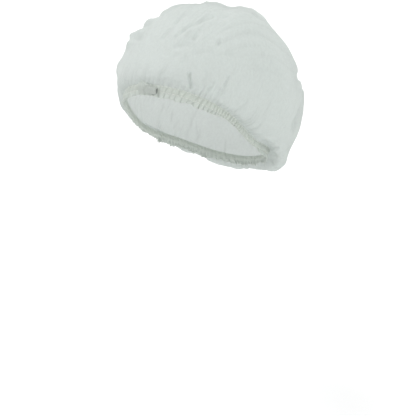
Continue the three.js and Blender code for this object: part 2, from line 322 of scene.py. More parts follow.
def crown_base(turn, climb):
    """A point of the crown without its gathers and folds. Climb goes from 0 at the rim to 1 at the pole."""
    turn, climb = np.broadcast_arrays(np.asarray(turn, float), np.asarray(climb, float))
    rim_radius = curve("hem_radius", turn) + curve("lean", turn) + CASING_DEPTH
    rim_rise = curve("hem_rise", turn) + BAND_HEIGHT + RIM_GAP
    belly = curve("belly", turn)
    belly_rise = curve("belly_rise", turn)
    low = np.clip(climb / BELLY_CLIMB, 0, 1) * (np.pi / 2)
    drop = curve("sag", turn) * np.sin(2 * low) * np.cos(low)
    low_radius = rim_radius + (belly - rim_radius) * np.sin(low) ** RIM_FLARE
    low_rise = rim_rise + (belly_rise - rim_rise) * (1 - np.cos(low)) - drop
    high = np.clip((climb - BELLY_CLIMB) / (1 - BELLY_CLIMB), 0, 1) * (np.pi / 2)
    high_radius = belly * np.maximum(np.cos(high), 0) ** curve("bluntness", turn)
    high_rise = belly_rise + (POLE_RISE - belly_rise) * np.sin(high)
    below = climb < BELLY_CLIMB
    return ring_point(turn, np.where(below, low_radius, high_radius), np.where(below, low_rise, high_rise))


def unit(vectors):
    return vectors / np.maximum(np.linalg.norm(vectors, axis=-1, keepdims=True), 1e-12)


def crown_normal(turn, climb):
    above = np.minimum(climb + SLOPE_STEP, 1 - SLOPE_STEP / 4)
    below = np.maximum(climb - SLOPE_STEP, 0)
    along = crown_base(turn + SLOPE_STEP, climb) - crown_base(turn - SLOPE_STEP, climb)
    up = crown_base(turn, above) - crown_base(turn, below)
    return unit(np.cross(along, up))


def smoothstep(value, low, high):
    share = np.clip((value - low) / (high - low), 0, 1)
    return share * share * (3 - 2 * share)


def between(value, start, full, end, over):
    """Rises from 0 at start to 1 at full, and falls again from end to over."""
    return smoothstep(value, start, full) * (1 - smoothstep(value, end, over))


def squared(vectors):
    return (vectors * vectors).sum(axis=-1)


def line_gap(places, start, end):
    """How far along a straight line each place is, as a share of it, and the gap from the line to it."""
    line = end - start
    share = (places - start) @ line / (line @ line)
    return share, places - start - np.clip(share, 0, 1)[..., None] * line


def without_bow(gap, normals):
    """A gap from a line over the crown, less as much of it as the crown may bow off that line."""
    bow = np.clip((gap * normals).sum(axis=-1), -FOLD_BOW, FOLD_BOW)
    return gap - bow[..., None] * normals


# ---- distances along the cloth ----
TABLE_TURNS = 180
TABLE_CLIMBS = 400
CLIMBS = np.linspace(0, 1, TABLE_CLIMBS + 1)


def cloth_table():
    """The way along the cloth from the rim, for even steps of turn and climb."""
    turns = np.linspace(0, TAU, TABLE_TURNS + 1)
    points = crown_base(turns[:, None], CLIMBS[None, :])
    steps = np.linalg.norm(np.diff(points, axis=1), axis=-1)
    return np.concatenate([np.zeros((TABLE_TURNS + 1, 1)), np.cumsum(steps, axis=1)], axis=1)


CLOTH_WAY = cloth_table()
MEAN_WAY = CLOTH_WAY.mean(axis=0)


def cloth_way(turn, climb):
    """How far along the cloth a place is from the rim."""
    column = np.mod(turn, TAU) / TAU * TABLE_TURNS
    row = np.clip(climb, 0, 1) * TABLE_CLIMBS
    i = np.clip(column.astype(int), 0, TABLE_TURNS - 1)
    j = np.clip(row.astype(int), 0, TABLE_CLIMBS - 1)
    a, b = column - i, row - j
    low = CLOTH_WAY[i, j] * (1 - a) + CLOTH_WAY[i + 1, j] * a
    high = CLOTH_WAY[i, j + 1] * (1 - a) + CLOTH_WAY[i + 1, j + 1] * a
    return low * (1 - b) + high * b


# ---- gathers, folds and creases ----
def seeded_waves(seed, count, harmonics, heights):
    """A smooth random value of about -1 to 1, over turn and a height in metres."""
    rng = np.random.default_rng(seed)
    rounds = rng.integers(harmonics[0], harmonics[1] + 1, count)
    rises = rng.uniform(*heights, count) * rng.choice((-1, 1), count)
    phases = rng.uniform(0, TAU, count)
    scale = 1 / math.sqrt(count / 2)

    def value(turn, height):
        return scale * sum(
            np.cos(r * turn + TAU * s * height + p) for r, s, p in zip(rounds, rises, phases)
        )

    return value


def space_waves(seed, count, lengths):
    """A smooth random value of about -1 to 1 over space. lengths: the shortest and longest wave."""
    rng = np.random.default_rng(seed)
    ways = unit(rng.normal(size=(count, 3)))
    speeds = TAU / rng.uniform(*lengths, count)
    phases = rng.uniform(0, TAU, count)
    scale = 1 / math.sqrt(count / 2)
    return lambda places: scale * np.cos(places @ (ways * speeds[:, None]).T + phases).sum(axis=-1)


# Random creases begin to fade, are faint, begin to come back and are back at these turns, in degrees.
CALM_TURNS = (-60, -40, 105, 130)
CALMNESS = 0.72  # how much fainter or shorter they are there


def busyness(degrees):
    """How many of the random creases are left: fewer from the right of the brow to behind the left ear."""
    angle = np.mod(degrees + 180, 360) - 180
    return 1 - CALMNESS * between(angle, *CALM_TURNS)


RIM_PUFF = 0.0024  # how far the cloth puffs out just above the hem
PUFF_WAYS = (0, 0.006, 0.012, 0.04)  # along the cloth, where it starts, is full, begins to fade and is gone
SIDE_FLATNESS = 0.85  # how much less it does so away from the brow
SIDE_TURNS = (25, 50)  # where that starts and is full, in degrees either way
SPACING_WAVES = seeded_waves(3, 9, (3, 17), (0, 0))
DRIFT_WAVES = seeded_waves(4, 10, (2, 9), (2, 9))
SPACING = 0.45  # how unevenly the gathers are spaced, in gathers
DRIFT = 16.0  # how far gathers wander sideways, in gathers to a metre of cloth
DRIFT_REACH = 0.11  # how far along the cloth that still grows
SLANT = 60.0  # how far the gathers lean where they leave the hem, in gathers to a metre
SLANT_REACH = 0.014  # how far along the cloth they go on leaning
WAVER_WAVES = seeded_waves(5, 24, (50, 170), (15, 60))
WAVER = 0.09  # how uneven each gather is, in gathers
WAVER_WAYS = (0.01, 0.05)  # along the cloth, where that begins to fade and is gone
RISING_WAY = 0.009  # over which the crown passes from the outer leaf's shape to its own


def gather_number(turn, way, gathers):
    """Grows by one from each pinch of the hem to the next, and wanders as the gathers climb."""
    lean = SLANT * SLANT_REACH * np.tanh(way / SLANT_REACH)
    drift = DRIFT * DRIFT_WAVES(turn, way) * np.minimum(way, DRIFT_REACH)
    waver = WAVER * WAVER_WAVES(turn, way) * (1 - smoothstep(way, *WAVER_WAYS))
    return gathers * turn / TAU + SPACING * SPACING_WAVES(turn, 0) + waver - lean - drift


def hem_lobe(number, gathers):
    """The gathers of the hem: 0 in each valley, up to about 1 on each crest."""
    fullness = np.random.default_rng(VALLEYS["seed"]).uniform(*LOBE_FULLNESS, gathers)
    which = np.floor(number).astype(int) % gathers
    return np.sin(np.pi * (number - np.floor(number))) ** LOBE_BLUNTNESS * fullness[which]


def from_brow(turn):
    """How far round from the brow a turn is, either way, in degrees."""
    return np.abs(np.degrees(np.mod(turn + np.pi, TAU) - np.pi))


def frill_share(turn):
    """How much of the frill hangs free: less between temple and ear, where it is turned under."""
    return 1 - TUCKED_UNDER * between(from_brow(turn), *TUCKED_TURNS)


def outer_leaf(number, up, gathers):
    """How far the hem's outer leaf is out from the head, at a height above the frill's edge."""
    rows = np.array(HEM_PATH[: OUTER_LEAF + 1][::-1]) * MM
    valley = np.interp(up, rows[:, 0], rows[:, 1])
    crest = np.interp(up, rows[:, 0], rows[:, 2])
    return valley + (crest - valley) * hem_lobe(number, gathers)


def gather_height(turn, way, gathers):
    """How far the gathers stand out from the smooth crown, and the painted shade in their valleys."""
    number = gather_number(turn, way, gathers)
    rng = np.random.default_rng(VALLEYS["seed"] + 1)
    rare = rng.uniform(0, 1, gathers) ** VALLEYS["rarity"] * busyness(np.arange(gathers) * 360 / gathers)
    reach = (rng.uniform(*VALLEYS["length"], gathers) + VALLEYS["long_length"] * rare) * MM
    depth = (rng.uniform(*VALLEYS["depth"], gathers) + VALLEYS["long_depth"] * rare) * MM
    breadth = rng.uniform(*VALLEYS["breadth"], gathers)
    puff = RIM_PUFF * (1 - SIDE_FLATNESS * smoothstep(from_brow(turn), *SIDE_TURNS))
    height = PUFF + puff * between(way, *PUFF_WAYS)
    painted_shade = np.zeros_like(number)
    nearest = np.floor(number).astype(int)
    for step in NEIGHBOURS:
        which = (nearest + step) % gathers
        gap = number - (nearest + step)
        width = (VALLEYS["width"] + VALLEYS["widening"] * way) * breadth[which]
        sharp = np.sqrt(gap * gap + VALLEYS["rounding"]) / width
        left = np.clip(1 - way / reach[which], 0, 1)
        height -= depth[which] * left ** VALLEYS["fade"] * np.exp(-sharp)
        # Painted shade in the valleys between the gathers.
        painted_shade += left * np.exp(-VALLEYS["tuck"] * sharp)
    at_rim = outer_leaf(number, BAND_HEIGHT + RIM_GAP, gathers) - CASING_DEPTH
    risen = smoothstep(way, 0, RISING_WAY)
    return at_rim * (1 - risen) + height * risen, np.minimum(painted_shade, 1)


def nearness(places, normals, fold):
    """1 on a fold's line, and less beside it."""
    start, end = crown_base(np.radians(fold["turn"]), np.array(fold["climb"]))
    _, gap = line_gap(places, start, end)
    return np.exp(-squared(without_bow(gap, normals)) / (fold["width"] * MM) ** 2)


def fold_height(places, normals):
    """How far the long folds and dents stand out."""
    height = np.zeros(places.shape[:-1])
    for row in FOLDS.values():
        fold = row_of(FOLD_COLUMNS, row)
        height -= fold["depth"] * MM * nearness(places, normals, fold)
    return height


def painted_patch_shade(places, normals):
    """Soft patches of painted shade: a darker tone at these places on the crown."""
    patches = [row_of(SHADE_PATCH_COLUMNS, row) for row in SHADE_PATCHES.values()]
    return np.max([patch["shade"] * nearness(places, normals, patch) for patch in patches], axis=0)


# How many, shortest and longest, narrowest and widest, deepest, lowest and highest, all in mm, and
# then the way they run from straight up and how much that varies, in radians.
CREASES = {
    "gather creases": (190, 10, 34, 1.1, 2.0, 1.0, 8, 70, 0, 0.16),
    "long creases": (130, 30, 80, 1.6, 2.6, 0.6, 30, 200, 0, 0.16),
    "crossing creases": (70, 12, 30, 1.4, 2.2, 0.6, 20, 210, math.pi / 2, 0.9),
}
CREASE_SEED = 51
CREASE_STRENGTH = (0.4, 1)  # as a share of the deepest
CREASE_SIDES = (-0.6, 1)  # half of them stand out, and those are lower
CREASE_FOOT, CREASE_TOP = 0.001, 0.97  # nearest to the rim in metres, and to the pole as a share
POLE_RADIUS, RIM_MORE = 0.02, 0.1  # the crown's rough radius at the pole, and how much more at the rim
BOTH_ENDS = np.array((-0.5, 0.5))
CREASE_REACH = 4  # widths beside its line at which a crease is no longer felt
CREASE_FADE = (-0.15, 0.3)  # shares of its length over which it fades in from each end
LIP_HEIGHT, LIP_SPREAD = 0.35, 5  # the lips beside it, as shares of its depth and squared width
CREASE_SHADE_FALL = 1.5  # how closely the painted shade keeps to its line


def crease_lines():
    """Short random creases that mostly run up from the hem: both ends, width and depth of each."""
    rng = np.random.default_rng(CREASE_SEED)
    lines = []
    for count, short, long, narrow, wide, deep, low, high, heading, spread in CREASES.values():
        for _ in range(count):
            turn, way = rng.uniform(0, TAU), rng.uniform(low, high) * MM
            length = rng.uniform(short, long) * MM
            angle = rng.normal(0, spread) + heading
            full = float(cloth_way(np.array(turn), np.array(1.0)))
            ways = np.clip(way + BOTH_ENDS * length * math.cos(angle), CREASE_FOOT, CREASE_TOP * full)
            climbs = np.interp(ways, MEAN_WAY * full / MEAN_WAY[-1], CLIMBS)
            radius = POLE_RADIUS + RIM_MORE * math.cos(min(way / full, 1) * math.pi / 2)
            start, end = crown_base(turn + BOTH_ENDS * length * math.sin(angle) / radius, climbs)
            width = rng.uniform(narrow, wide) * MM
            depth = rng.uniform(*CREASE_STRENGTH) * rng.choice(CREASE_SIDES) * deep * MM
            lines.append((start, end, width, depth * busyness(math.degrees(turn))))
    return lines


def crease_height(places, normals):
    """A valley with a soft lip on both sides, or a ridge with a soft groove, along every crease.
    Gives the height, and the painted shade along each valley."""
    height = np.zeros(len(places))
    painted_shade = np.zeros(len(places))
    for start, end, width, depth in crease_lines():
        reach = np.linalg.norm(end - start) / 2 + CREASE_REACH * width + FOLD_BOW
        near = np.nonzero(squared(places - (start + end) / 2) < reach**2)[0]
        if not len(near):
            continue
        share, gap = line_gap(places[near], start, end)
        far = squared(without_bow(gap, normals[near])) / width**2
        fade = smoothstep(np.minimum(share, 1 - share), *CREASE_FADE)
        height[near] -= depth * (np.exp(-far) - LIP_HEIGHT * np.exp(-far / LIP_SPREAD)) * fade
        # Painted shade along each valley.
        painted_shade[near] += max(depth, 0) / MM * np.exp(-CREASE_SHADE_FALL * far) * fade
    return height, np.minimum(painted_shade, 1)


CRUMPLE_WAVES = [space_waves(21, 14, (0.045, 0.09)), space_waves(22, 20, (0.018, 0.04))]
DENT_SHARE, RIDGE_SHARE = 0.9, 0.25  # of the crumple's depth
RIDGE_SHARPNESS = 1.6
RIDGE_PLACES = (0.1, 0.9)  # how far into a dent or swell ridges start and are full


def crumple_height(places, depth):
    """Broad soft dents with ridged creases between them."""
    broad, fine = [waves(places) for waves in CRUMPLE_WAVES]
    ridges = 1 - 2 * np.abs(np.tanh(RIDGE_SHARPNESS * fine))
    return depth * (DENT_SHARE * broad + RIDGE_SHARE * ridges * smoothstep(np.abs(broad), *RIDGE_PLACES))


PACKING_SPACING = math.radians(4.9)  # between packing creases, about the line from join to nape
PACKING_AXIS = 0.02  # how far that line is below the ring's centre
# How far they wander, in spacings, and how fast: to a metre back, to a radian across, and the start.
PACKING_WANDER = ((0.3, 31, 5, 0), (0.25, 0, 23, 1), (0.2, 60, -3, 0))
PACKING_STRENGTHS = np.random.default_rng(61).uniform(0.25, 1.3, 128)
PACKING_PULSE, PACKING_PULSE_WAY = 0.4, 0.021  # how much each comes and goes, and the way to a radian
PACKING_PULSE_SHIFT = 2.4  # from each crease to the next, in radians
PACKING_RISES = (0.045, 0.085)  # heights over the ring at which they start and are full
PACKING_WIDTH = 0.22  # in spacings
PACKING_LEVEL = 0.45  # how far the cloth between them stands out, as a share of their depth
PACKING_SHADE_FOOT = 0.35  # how deep in a crease the painted shade starts, as the same share


def packing_creases(places, depth):
    """Sharp low creases that run over the head from the join to the nape, left by packing it flat.
    Gives their height and the painted shade in their valleys."""
    offset = places - RING_CENTRE
    back = offset @ BACK
    angle = np.arctan2(offset @ ACROSS, offset @ AXIS + PACKING_AXIS)
    place = angle / PACKING_SPACING
    for wander, to_metre, to_radian, start in PACKING_WANDER:
        place = place + wander * np.cos(to_metre * back + to_radian * angle + start)
    line = np.floor(place)
    share = place - line
    strength = PACKING_STRENGTHS[line.astype(int) % len(PACKING_STRENGTHS)]
    pulse = np.cos(back / PACKING_PULSE_WAY + PACKING_PULSE_SHIFT * line)
    strength = strength * (1 - PACKING_PULSE + PACKING_PULSE * pulse)
    over = smoothstep(offset @ AXIS, *PACKING_RISES) * strength
    valley = np.exp(-np.minimum(share, 1 - share) / PACKING_WIDTH)
    return depth * over * (PACKING_LEVEL - valley), over * np.maximum(valley - PACKING_SHADE_FOOT, 0)


# ---- meshes ----
def ring_faces(start, count, above):
    """Faces between a ring of count vertices from start and the ring above it, of as many or half."""
    i = np.arange(count)
    j = (i + 1) % count
    if above == count:
        return np.stack([start + i, start + j, start + count + j, start + count + i], axis=1).tolist()
    half = np.arange(above)
    low = start + 2 * half
    middle = low + 1
    high = start + (2 * half + 2) % count
    upper = start + count + half
    beyond = start + count + (half + 1) % above
    faces = [(low, middle, upper), (middle, beyond, upper), (middle, high, beyond)]
    return np.concatenate([np.stack(face, axis=1) for face in faces]).tolist()


def strip_faces(start, counts):
    """Faces between each ring of vertices and the next, where counts says how many each ring has."""
    faces = []
    for count, above in zip(counts, counts[1:]):
        faces += ring_faces(start, count, above)
        start += count
    return faces


def turns_round(count):
    """This many even turns, from the brow right round."""
    return np.arange(count) * TAU / count


def mesh_object(name, points, faces):
    mesh = bpy.data.meshes.new(name)
    mesh.from_pydata(points.tolist(), [], faces)
    mesh.validate()
    mesh.shade_smooth()
    piece = bpy.data.objects.new(name, mesh)
    bpy.context.scene.collection.objects.link(piece)
    return piece


def add_values(piece, name, values):
    attribute = piece.data.attributes.new(name, "FLOAT", "POINT")
    attribute.data.foreach_set("value", values.astype(np.float32))


FLOW_RADIUS, FLOW_RISE = 0.1, 0.16  # the less it rises, the longer fine creases run up the gathers


def add_flow(piece, number, way, gathers):
    """Where each point is along the gathers, for creases that run up from the hem."""
    angle = TAU * number / gathers
    flow = [FLOW_RADIUS * np.cos(angle), FLOW_RADIUS * np.sin(angle), FLOW_RISE * way]
    flow = np.stack(flow, axis=-1)
    attribute = piece.data.attributes.new("flow", "FLOAT_VECTOR", "POINT")
    attribute.data.foreach_set("vector", flow.astype(np.float32).ravel())


def flat_cut(radius, turn):
    """Where cloth lies in the flat round, from its middle."""
    return np.stack([radius * np.sin(turn), -radius * np.cos(turn)], axis=-1)


def add_flat_map(piece, flat):
    """A UV map of where each point lay in the flat cut, in metres."""
    layer = piece.data.uv_layers.new(name="flat_cut")
    corners = np.zeros(len(piece.data.loops), np.int32)
    piece.data.loops.foreach_get("vertex_index", corners)
    layer.data.foreach_set("uv", flat[corners].astype(np.float32).ravel())


def catmull(rows, count):
    """A smooth curve through the rows of a table."""
    rows = np.asarray(rows, float)
    padded = np.concatenate([2 * rows[:1] - rows[1:2], rows, 2 * rows[-1:] - rows[-2:-1]])
    place = np.linspace(0, len(rows) - 1, count)
    i = np.minimum(place.astype(int), len(rows) - 2)
    t = (place - i)[:, None]
    a, b, c, d = (padded[i + k] for k in range(4))
    return 0.5 * (2 * b + (c - a) * t + (2 * a - 5 * b + 4 * c - d) * t**2 + (3 * b - a - 3 * c + d) * t**3)


# ---- the crown ----
# Rings from the rim up: shares of the cloth's way to the pole, and how far apart rings stand there.
RING_STEPS = ((0.0, 0.0011), (0.08, 0.0019), (0.22, 0.0026), (1.0, 0.003))
HALVINGS = (0.2, 0.76, 0.9, 0.965)  # shares of the way at which a ring has half as many vertices
LAST_RING = 0.985
SEAM_WAY = 0.004  # how far up the crown leaves the line of the hem
CRUMPLE_WAYS = (0.004, 0.03)  # along the cloth, where the crumpling starts and is full
GATHERED_WAY = 0.02  # how far up the cloth lies closer, so that less light passes
PACKED_SHADE = 0.8  # how strong the painted shade in a packing crease is


def crown_rings(columns):
    """(climb, vertex count) of each ring."""
    shares, steps = zip(*RING_STEPS)
    way, rings = 0.0, []
    while way < LAST_RING * MEAN_WAY[-1]:
        halved = sum(way > share * MEAN_WAY[-1] for share in HALVINGS)
        rings.append((float(np.interp(way, MEAN_WAY, CLIMBS)), columns >> halved))
        way += float(np.interp(way / MEAN_WAY[-1], shares, steps))
    return rings


def crown_points(turn, climb, cloth):
    """Where the crown's vertices are, how far along the cloth, and how much painted shade lies there."""
    places = crown_base(turn, climb)
    normals = crown_normal(turn, climb)
    way = cloth_way(turn, climb)
    gathers, painted_shade = gather_height(turn, way, cloth.gathers)
    creases, crease_shade = crease_height(places, normals)
    folds = fold_height(places, normals) + creases
    patch_shade = painted_patch_shade(places, normals)
    packing, packing_shade = packing_creases(places, cloth.packing)
    crumple = (crumple_height(places, cloth.crumple) + packing) * smoothstep(way, *CRUMPLE_WAYS)
    # At the rim the cloth meets the hem's outer leaf, which is gathered straight in and out.
    left = smoothstep(way, 0, SEAM_WAY)
    outward = unit(ring_point(turn, 1.0, 0.0) - RING_CENTRE)
    ways = unit(normals * left[..., None] + outward * (1 - left)[..., None])
    places = places + ways * (gathers + folds * left + crumple)[..., None]
    angle = from_brow(turn)
    lift = RIM_LIFT * between(angle, *TAUT_TURNS) * way / RIM_LIFT_WAY * np.exp(1 - way / RIM_LIFT_WAY)
    places = places + lift[..., None] * AXIS
    # Behind the ears the painted shade of the gather valleys is taken away; the rest is painted shade of
    # valleys, creases and patches.
    painted_shade = painted_shade * (1 - between(angle, *SHADE_FREE_TURNS))
    return places, way, np.clip(np.maximum(painted_shade, crease_shade) + PACKED_SHADE * packing_shade + patch_shade, 0, 1)


class MobCapMakeCrown(bpy.types.Operator):
    """Makes the puffed crown as one wall of gathered cloth."""

    bl_idname = "mob_cap.make_crown"
    bl_label = "Make Crown"

    def execute(self, context):
        cloth = context.scene.mob_cap_cloth
        climbs, counts = zip(*crown_rings(cloth.gathers * cloth.samples))
        turns = np.concatenate([turns_round(count) for count in counts])
        points, way, painted_shade = crown_points(turns, np.repeat(climbs, counts), cloth)
        pole = len(points)
        last = np.arange(pole - counts[-1], pole)
        cap = [(int(a), int(b), pole) for a, b in zip(last, np.roll(last, -1))]
        points = np.concatenate([points, points[last].mean(axis=0)[None]])
        crown = mesh_object("crown_cloth", points, strip_faces(0, counts) + cap)
        inner = cloth.disc / 2 - HEM_CLOTH
        flat = flat_cut(inner - way * (inner / cloth_way(turns, np.ones_like(turns))), turns)
        add_flat_map(crown, np.concatenate([flat, [[0.0, 0.0]]]))
        add_values(crown, "gathered", np.append(1 - smoothstep(way, 0.0, GATHERED_WAY), 0.0))
        add_values(crown, "painted_shade", np.append(painted_shade, 0.0))
        number = gather_number(turns, way, cloth.gathers)
        add_flow(crown, np.append(number, 0.0), np.append(way, way.max()), cloth.gathers)
        material = nonwoven_material("nonwoven", cloth.colour, cloth.openness, CROWN_GLOW, cloth)
        crown.data.materials.append(material)
        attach(crown, "root")
        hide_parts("crown")
        return {"FINISHED"}


# ---- the hem ----
HEM_ROWS = 49
HEM_CLOTH = 0.026  # how much of the disc's edge is folded into the hem
HEM_SHADE, HEM_SHADE_FALL = 0.6, 3.5  # the painted shade in its valleys, and how fast it falls off towards the crests
ELASTIC_OUT = 0.00175  # the strip's middle, out from the head
ELASTIC_UP = 0.0087  # and up from the frill's edge
STITCH_ROWS = (0.0055, 0.0115)  # the same for the two rows of thread


class MobCapMakeHem(bpy.types.Operator):
    """Makes the folded hem with its frill, gathered over the elastic."""

    bl_idname = "mob_cap.make_hem"
    bl_label = "Make Hem"

    def execute(self, context):
        hem = context.scene.mob_cap_hem
        cloth = context.scene.mob_cap_cloth
        columns = cloth.gathers * cloth.samples
        turns = turns_round(columns)
        path = catmull(HEM_PATH, HEM_ROWS) * MM
        height, valley, crest = path[:, 0:1], path[:, 1:2], path[:, 2:3]
        number = gather_number(turns, height - BAND_HEIGHT - RIM_GAP, cloth.gathers)
        lobe = hem_lobe(number, cloth.gathers)
        frill = 1 - smoothstep(height, 0, FRILL_TOP)
        out = valley + (crest - valley) * lobe
        wander = seeded_waves(31, 8, (9, 40), (0, 0))(turns, 0)
        up = height - frill * hem.scallop * (lobe + SCALLOP_WANDER * (wander - 1))
        share = frill_share(turns)
        up = np.where(up < FRILL_TOP, FRILL_TOP - (FRILL_TOP - up) * share, up)
        out = out - frill * (1 - share) * FRILL_FLATNESS * (out - valley)
        points = band_point(np.broadcast_to(turns, out.shape), out, up)
        piece = mesh_object("hem_cloth", points.reshape(-1, 3), strip_faces(0, [columns] * HEM_ROWS))
        inward = np.arange(HEM_ROWS)[:, None] * HEM_CLOTH / HEM_ROWS
        add_flat_map(piece, flat_cut(cloth.disc / 2 - HEM_CLOTH + inward, turns).reshape(-1, 2))
        add_values(piece, "gathered", np.ones(number.size))
        add_flow(piece, number.ravel(), up.ravel(), cloth.gathers)
        # Painted shade in the valleys of the hem's gathers.
        add_values(piece, "painted_shade", HEM_SHADE * np.exp(-HEM_SHADE_FALL * lobe).ravel())
        material = nonwoven_material("folded_nonwoven", hem.colour, hem.openness, HEM_GLOW, cloth)
        piece.data.materials.append(material)
        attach(piece, "root")
        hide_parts("hem_casing")
        return {"FINISHED"}


def signed_power(value, power):
    return np.sign(value) * np.abs(value) ** power


class MobCapMakeElastic(bpy.types.Operator):
    """Makes the ribbed latex strip inside the hem."""

    bl_idname = "mob_cap.make_elastic"
    bl_label = "Make Elastic"

    ribs = 7
    rib_depth = 0.18  # as a share of the thickness
    end_bluntness, face_bluntness = 0.6, 0.35  # of the section: 1 is round, and less is squarer
    squeeze = 0.05  # how unevenly the hem narrows it
    section_points = 44
    columns = 416

    def execute(self, context):
        hem = context.scene.mob_cap_hem
        around = turns_round(self.section_points)
        width, thickness = hem.elastic_width / 2, hem.elastic_thickness / 2
        across = signed_power(np.cos(around), self.end_bluntness) * width
        rib = 1 - self.rib_depth + self.rib_depth * np.cos(across / width * np.pi * self.ribs)
        deep = signed_power(np.sin(around), self.face_bluntness) * thickness * rib
        turns = turns_round(self.columns)
        narrowed = 1 + self.squeeze * seeded_waves(41, 8, (20, 70), (0, 0))(turns, 0)
        points = band_point(turns, ELASTIC_OUT + deep[:, None], ELASTIC_UP + across[:, None] * narrowed)
        faces = []
        for k in range(self.section_points):
            below, above = k * self.columns, (k + 1) % self.section_points * self.columns
            i = np.arange(self.columns)
            j = (i + 1) % self.columns
            faces += np.stack([above + i, above + j, below + j, below + i], axis=1).tolist()
        piece = mesh_object("elastic_strip", points.reshape(-1, 3), faces)
        piece.data.materials.append(latex_material(hem))
        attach(piece, "root")
        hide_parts("elastic_band")
        return {"FINISHED"}


class MobCapMakeStitches(bpy.types.Operator):
    """Makes the two rows of stitches that close the hem over its elastic."""

    bl_idname = "mob_cap.make_stitches"
    bl_label = "Make Stitches"

    sides = 6
    stations = 9
    share = 0.78  # of the pitch that a stitch shows
    stitches_to_a_gather = 1.25
    rise, sunk = 2.2, 0.9  # how high a stitch arches and how deep its ends are, in radii of the thread
    end_radius = 0.35  # as a share of the full one

    def execute(self, context):
        hem = context.scene.mob_cap_hem
        gathers = context.scene.mob_cap_cloth.gathers
        count = round(gathers * self.stitches_to_a_gather)
        points, faces = [], []
        for height in STITCH_ROWS:
            for k in range(count):
                self.add_stitch(points, faces, hem, gathers, height, k * TAU / count, TAU / count)
        piece = mesh_object("hem_stitches", np.concatenate(points), faces)
        piece.data.materials.append(thread_material(hem))
        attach(piece, "root")
        return {"FINISHED"}

    def add_stitch(self, points, faces, hem, gathers, height, turn, pitch):
        along = np.linspace(0, 1, self.stations)
        turns = turn + along * pitch * self.share
        arch = np.sin(np.pi * along)
        number = gather_number(turns, height - BAND_HEIGHT - RIM_GAP, gathers)
        heights = np.full_like(turns, height)
        out = outer_leaf(number, heights, gathers) + (arch * self.rise - self.sunk) * hem.thread
        line = band_point(turns, out, heights)
        forward = unit(np.gradient(line, axis=0))
        side = unit(np.cross(forward, AXIS))
        upward = np.cross(side, forward)
        around = turns_round(self.sides)[None, :, None]
        ring = np.cos(around) * side[:, None] + np.sin(around) * upward[:, None]
        radius = hem.thread * (self.end_radius + (1 - self.end_radius) * np.sqrt(arch))
        start = sum(len(p) for p in points)
        points.append((line[:, None] + radius[:, None, None] * ring).reshape(-1, 3))
        faces += strip_faces(start, [self.sides] * self.stations)
        first = np.arange(start, start + self.sides)
        faces.append(first[::-1].tolist())
        faces.append((first + (self.stations - 1) * self.sides).tolist())


# ---- the bunched join ----
# A tuck of cloth rolled into a flat tube along the hem. It closes at the wearer's right and ends in
# an open mouth at the left, cut at a slant.
JOIN_TURN = math.radians(-1.5)
JOIN_ENDS = (-0.0145, 0.0106)  # along the hem from JOIN_TURN
JOIN_START = 0.01  # share of the length at which the closed end's flat face is
JOIN_OUT = 0.0054  # the tube's middle, out from the head
JOIN_UP = (0.0083, 0.0052)  # and up from the frill's edge, at the closed end and at the mouth
JOIN_HALF_DEPTH = (0.0028, 0.0017)
JOIN_HALF_HEIGHT = (0.0070, 0.0032)
JOIN_CLOSING = 0.16  # share of the length over which the closed end gathers in
JOIN_PLEATS = 11
PLEAT_BENDS = ((0.5, 2, 3), (0.35, 5, -4))  # how far they wander, in pleats, and how often round and along
PLEAT_BLUNTNESS = 0.6  # the lower, the broader their crests
PLEAT_FOOT, PLEAT_HEIGHT = 0.78, 0.3  # as shares of the tube's depth
SWELL_HEIGHT, SWELLS = 0.08, (4, 9)  # and of the broad swells under them, with how often round and along
UP_AND_DOWN = 0.4  # how much of the pleats and swells shows in the tube's height
MOUTH_SLANT = 0.0004  # how far the mouth's front is cut back
# The lip turns in to line a pocket: share of the mouth, and how far on.
MOUTH_LIP = ((0.95, 0.0001), (0.88, -0.0001), (0.84, -0.0008), (0.8, -0.003), (0.72, -0.006))
# A groove arches over the tuck from its foot to the mouth: places along and up, all in mm.
JOIN_ARCH = ((-4.0, 3.4), (-3.6, 5.4), (-2.0, 7.6), (2.6, 9.4), (6.2, 8.7), (8.8, 7.2))
ARCH_WIDTH, ARCH_DEPTH = 0.0013, 0.0007
ARCH_SHADE = 0.4  # painted shade on the cloth under the arch
ARCH_EDGE = 0.002  # over which that comes in below the arch
FRONT_EDGE = 0.3  # the cosine, round the tube, at which its front is fully front
POCKET_SHADE = 2.2  # painted shade on the pocket's lining, where the darkest valley has 1; the pocket is also truly shadowed by its shape
JOIN_TUCK_BACK = 0.0018  # how far the bunch's top and foot lean in to the hem
JOIN_FLAT_SCALE = 1.5  # of the flat cut to the join's length, for the cloth bunched in it
JOIN_FLOW = (8, 20)  # how far its fine creases run, in gathers, round it and along it
JOIN_SIDES = 96
JOIN_RINGS = 90


